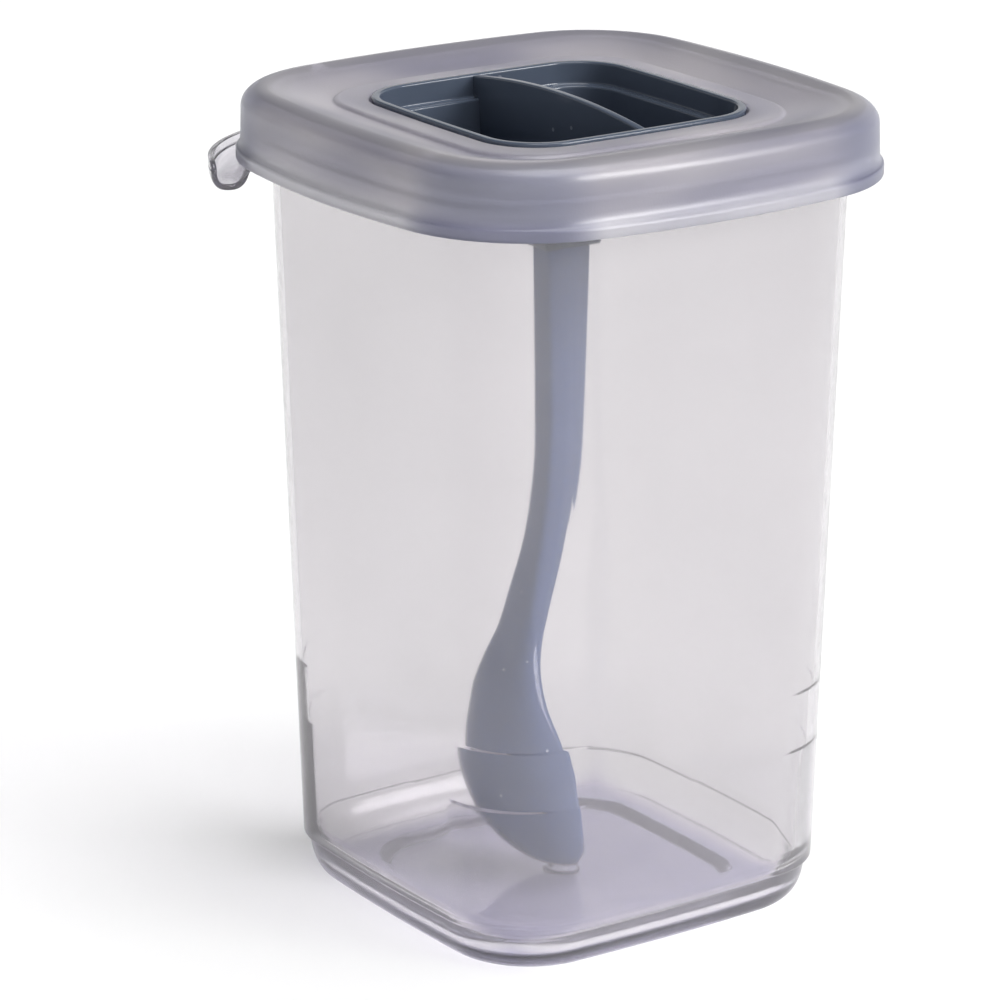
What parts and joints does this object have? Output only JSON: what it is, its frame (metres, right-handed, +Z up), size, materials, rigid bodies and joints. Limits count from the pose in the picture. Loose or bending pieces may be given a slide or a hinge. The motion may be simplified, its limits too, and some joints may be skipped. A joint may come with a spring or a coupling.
{
  "type": "food storage canister",
  "caption": "Tall clear square canister with a frosted snap lid, a lift-out grip plug in the lid and a long scoop that hangs from the plug.",
  "frame": {"origin": "centre of the face that stands on the table", "axes": "+Z up; +X and +Y point at two sides of the square body; the pull tab is at the -X +Y corner and the scoop's open side faces +X"},
  "size_m": [0.1287, 0.1287, 0.1875],
  "materials": {
    "tub": "clear, slightly hazy",
    "lid": "frosted, translucent",
    "plug": "dark blue-grey, glossy",
    "scoop": "blue-grey, satin"
  },
  "bodies": {
    "container": {"container_body": "tub"},
    "lid": {"snap_lid": "lid"},
    "plug": {"grip_plug": "plug", "scoop": "scoop"}
  },
  "joints": [
    {"name": "lid_lift", "type": "slide", "parent": "container", "child": "lid", "axis": [0, 0, 1], "range_m": [0, 0.19]},
    {"name": "plug_lift", "type": "slide", "parent": "lid", "child": "plug", "axis": [0, 0, 1], "range_m": [0, 0.19]}
  ]
}
